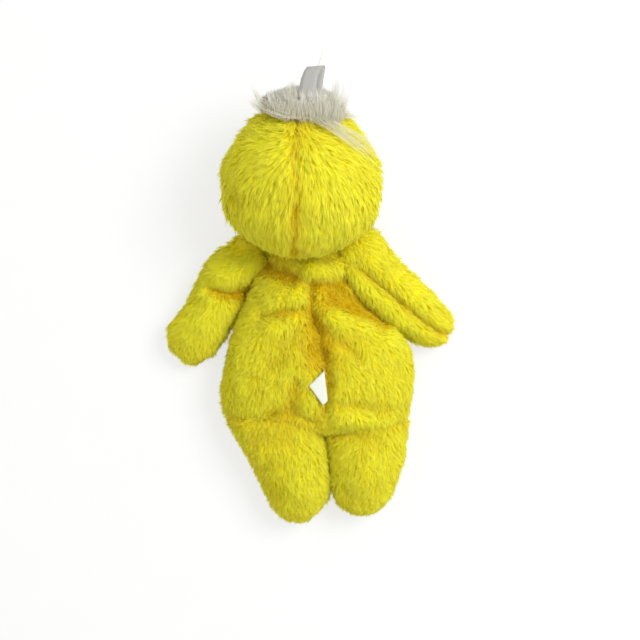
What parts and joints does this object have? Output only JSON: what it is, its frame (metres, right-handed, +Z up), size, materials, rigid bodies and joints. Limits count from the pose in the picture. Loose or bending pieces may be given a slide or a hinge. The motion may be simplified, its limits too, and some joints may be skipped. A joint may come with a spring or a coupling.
{
  "type": "plush duck",
  "caption": "Limp plush duck lying on its front: round head with a white crest and a ribbon hang loop, orange bill, two wings, flat body with a centre seam and care label, two legs",
  "frame": {"origin": "under the middle of the duck's box, on the surface that it lies on", "axes": "+Y is from the legs to the crest, +Z is up from the surface through the back, +X is to the right with the back up and the head away"},
  "size_m": [0.1868, 0.2898, 0.09],
  "materials": {
    "yellow_plush": "matte",
    "white_pile": "matte",
    "orange_plush": "matte",
    "fibre_filling": "matte",
    "grey_satin": "satin",
    "label_tape": "satin",
    "eye_plastic": "gloss",
    "washer_plastic": "matte"
  },
  "bodies": {
    "torso": {"torso_back_left": "yellow_plush", "torso_back_right": "yellow_plush", "torso_belly": "yellow_plush", "torso_stuffing": "fibre_filling", "care_label": "label_tape"},
    "head": {"head_panel_left": "yellow_plush", "head_panel_right": "yellow_plush", "head_stuffing": "fibre_filling", "eye_left": "eye_plastic", "eye_right": "eye_plastic", "eye_washer_left": "washer_plastic", "eye_washer_right": "washer_plastic", "bill_under_panel": "orange_plush", "bill_top_panel": "orange_plush", "bill_stuffing": "fibre_filling", "crest_patch": "white_pile", "hang_loop": "grey_satin"},
    "wing_left": {"wing_left_back": "yellow_plush", "wing_left_front": "yellow_plush", "wing_left_stuffing": "fibre_filling"},
    "wing_right": {"wing_right_back": "yellow_plush", "wing_right_front": "yellow_plush", "wing_right_stuffing": "fibre_filling"},
    "leg_left": {"leg_left_back": "yellow_plush", "leg_left_front": "yellow_plush", "leg_left_stuffing": "fibre_filling"},
    "leg_right": {"leg_right_back": "yellow_plush", "leg_right_front": "yellow_plush", "leg_right_stuffing": "fibre_filling"}
  },
  "joints": [
    {"name": "neck_nod", "type": "hinge", "parent": "torso", "child": "head", "pos_m": [-0.00554, 0.03213, 0.02], "axis": [1, 0, 0], "range_deg": [-40, 20]},
    {"name": "wing_left_flap", "type": "hinge", "parent": "torso", "child": "wing_left", "pos_m": [-0.04405, 0.02363, 0.015], "axis": [-0.3827, 0.9239, 0], "range_deg": [-75, 50]},
    {"name": "wing_right_flap", "type": "hinge", "parent": "torso", "child": "wing_right", "pos_m": [0.03096, 0.02313, 0.015], "axis": [-0.5592, -0.829, 0], "range_deg": [-75, 50]},
    {"name": "leg_left_fold", "type": "hinge", "parent": "torso", "child": "leg_left", "pos_m": [-0.022, -0.08087, 0.018], "axis": [-1, 0, 0], "range_deg": [-90, 60]},
    {"name": "leg_right_fold", "type": "hinge", "parent": "torso", "child": "leg_right", "pos_m": [0.035, -0.08087, 0.018], "axis": [-1, 0, 0], "range_deg": [-90, 60]}
  ]
}
